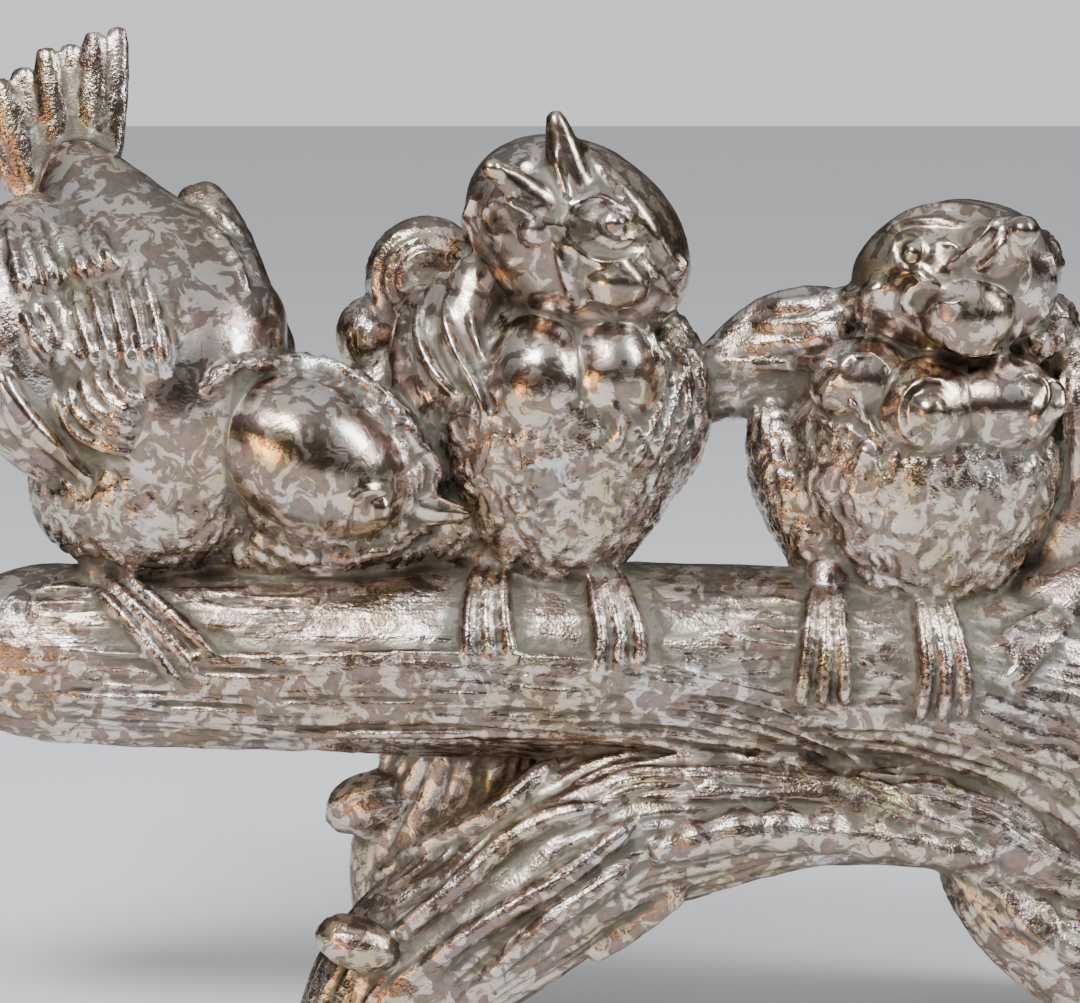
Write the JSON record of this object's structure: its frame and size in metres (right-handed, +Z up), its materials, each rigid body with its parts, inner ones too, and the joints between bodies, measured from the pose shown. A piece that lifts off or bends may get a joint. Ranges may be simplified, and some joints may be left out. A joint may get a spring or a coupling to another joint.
{
  "type": "birds on branch figurine",
  "caption": "Cast metal figurine of plump young birds perched side by side on a gnarled driftwood branch that arches down to stand on its own roots.",
  "frame": {"origin": "on the ground under the middle of the figurine's bounding box", "axes": "+X to the right of someone facing the birds' fronts, +Y towards the back of the branch, +Z up"},
  "size_m": [0.2879, 0.0742, 0.2055],
  "materials": {
    "plating": "gloss"
  },
  "bodies": {
    "root": {"birds_on_branch": "plating"}
  },
  "joints": []
}
